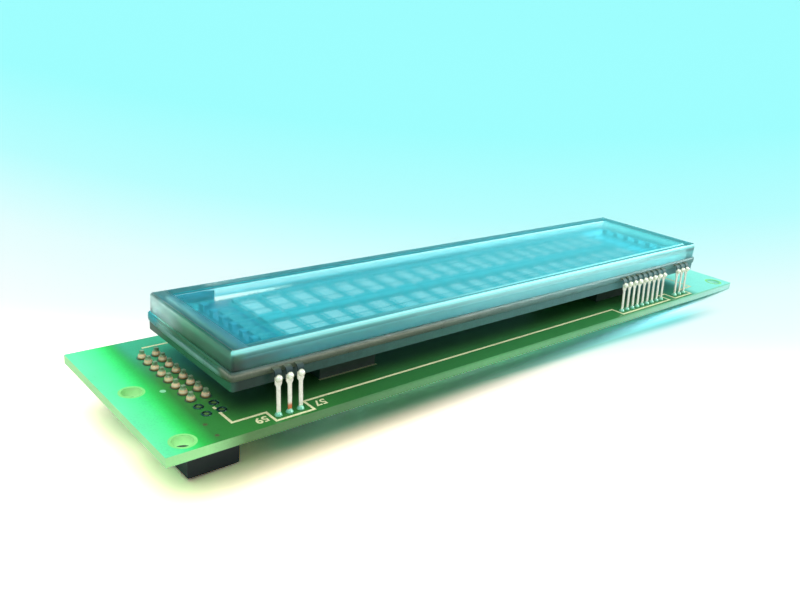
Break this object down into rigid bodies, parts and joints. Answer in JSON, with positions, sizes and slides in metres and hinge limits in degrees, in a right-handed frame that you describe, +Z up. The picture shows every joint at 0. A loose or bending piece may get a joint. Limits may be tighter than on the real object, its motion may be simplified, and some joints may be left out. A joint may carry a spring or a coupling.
{
  "type": "vacuum fluorescent display module",
  "caption": "Long green circuit board carrying a flat glass vacuum fluorescent tube on a row of thin leads, with a black box header under one end for a ribbon cable.",
  "frame": {"origin": "middle of the board's outline seen from above, level with the mouth of the header, the lowest point of the part", "axes": "+X runs along the board from the header end to the bare end, +Y from the edge with the tube's leads to the back edge, +Z up through the board to the face of the glass"},
  "size_m": [0.1552, 0.0384, 0.022],
  "materials": {
    "green_board": "green solder mask over glass fibre, glossy",
    "black_moulding": "matt black moulding",
    "tinned_pins": "tinned brass, bright",
    "solder": "bright solder with a warm tint",
    "plate_glass": "grey-green float glass",
    "cover_glass": "clear polished glass",
    "frit": "fired grey-brown frit",
    "insulation": "matt dark printed layer",
    "phosphor": "pale powdery phosphor",
    "grid_metal": "etched alloy sheet",
    "filament": "oxide-coated wire",
    "silicon": "bare polished silicon",
    "foam": "soft black foam",
    "chip_moulding": "matt moulding compound",
    "ferrite": "dull dark ferrite",
    "winding_tape": "yellow winding tape",
    "can_aluminium": "satin aluminium",
    "resistor_glaze": "black glaze",
    "capacitor_ceramic": "tan ceramic",
    "resonator_coat": "ochre ceramic coat",
    "lead_alloy": "solder-dipped alloy strip"
  },
  "bodies": {
    "root": {"circuit_board": "green_board", "header_body": "black_moulding", "header_pins": "tinned_pins", "header_solder": "solder", "base_glass": "plate_glass", "front_glass": "cover_glass", "frit_seal": "frit", "lead_59": "lead_alloy", "lead_58": "lead_alloy", "lead_57": "lead_alloy", "lead_14": "lead_alloy", "lead_13": "lead_alloy", "lead_12": "lead_alloy", "lead_11": "lead_alloy", "lead_10": "lead_alloy", "lead_9": "lead_alloy", "lead_8": "lead_alloy", "lead_7": "lead_alloy", "lead_6": "lead_alloy", "lead_3": "lead_alloy", "lead_2": "lead_alloy", "lead_1": "lead_alloy", "lead_solder": "solder", "insulation_layer": "insulation", "dot_anodes": "phosphor", "control_grids": "grid_metal", "filament_anchor": "grid_metal", "filament_support": "grid_metal", "filaments": "filament", "driver_chip": "silicon", "getter_strap": "grid_metal", "getter_ring": "grid_metal", "exhaust_tip": "plate_glass", "foam_pad_left": "foam", "foam_pad_right": "foam", "controller_chip": "chip_moulding", "controller_leads": "tinned_pins", "buffer_chip": "chip_moulding", "buffer_leads": "tinned_pins", "transformer_core": "ferrite", "transformer_bobbin": "black_moulding", "transformer_winding": "winding_tape", "transformer_terminals": "tinned_pins", "can_capacitors": "can_aluminium", "can_bases": "black_moulding", "regulator_body": "chip_moulding", "regulator_leads": "tinned_pins", "rectifier_diodes": "chip_moulding", "chip_resistors": "resistor_glaze", "chip_capacitors": "capacitor_ceramic", "resonator": "resonator_coat"}
  },
  "joints": []
}
